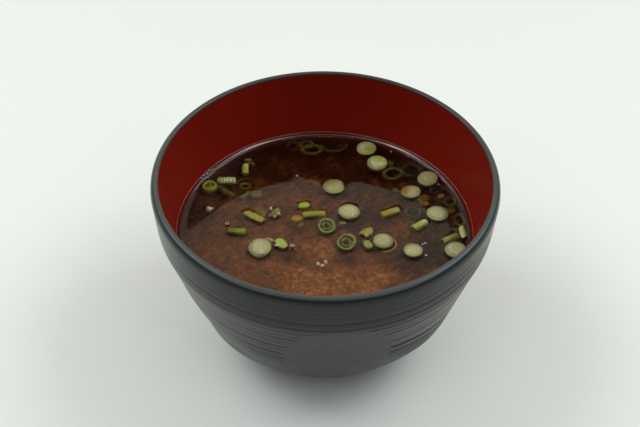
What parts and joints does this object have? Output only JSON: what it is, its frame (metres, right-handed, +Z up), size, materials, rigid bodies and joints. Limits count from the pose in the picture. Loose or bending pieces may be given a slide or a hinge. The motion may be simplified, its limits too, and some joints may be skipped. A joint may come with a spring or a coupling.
{
  "type": "bowl of miso soup",
  "caption": "Miso soup with floating sliced scallion, in a ribbed black bowl with a red lacquered inside, resting on a low foot ring.",
  "frame": {"origin": "on the surface the bowl stands on, under the middle of the foot ring", "axes": "+Z up along the bowl's axis; -Y is the front, where the round plain field is; +X to the right"},
  "size_m": [0.115, 0.115, 0.07],
  "materials": {
    "lacquer": "satin black lacquer outside and on the lip, deep red satin lacquer inside",
    "broth": "dark clear broth, wet and mirror smooth",
    "miso_cloud": "soft rust brown cloud of miso in the broth",
    "scallion_white": "wet pale cream to yellow green, faint layers",
    "scallion_green": "wet olive to bright green, fine veins",
    "scallion_pale": "wet yellow green, thin and slightly see-through",
    "bubble": "clear wet film"
  },
  "bodies": {
    "root": {"bowl": "lacquer", "soup": "broth", "white_slice_01": "scallion_white", "white_slice_02": "scallion_white", "white_slice_03": "scallion_white", "white_slice_04": "scallion_white", "white_slice_05": "scallion_white", "white_slice_06": "scallion_white", "white_slice_07": "scallion_white", "white_slice_08": "scallion_white", "white_slice_09": "scallion_white", "white_slice_10": "scallion_white", "white_slice_11": "scallion_white", "green_ring_01": "scallion_green", "green_ring_02": "scallion_green", "green_ring_03": "scallion_green", "stalk_01": "scallion_green", "stalk_02": "scallion_green", "stalk_03": "scallion_green", "stalk_04": "scallion_green", "stalk_05": "scallion_green", "stalk_06": "scallion_green", "stalk_07": "scallion_green", "nub_01": "scallion_green", "nub_02": "scallion_green", "nub_03": "scallion_green", "curl_01": "scallion_pale", "curl_02": "scallion_pale", "curl_03": "scallion_pale", "curl_04": "scallion_pale"}
  },
  "joints": []
}
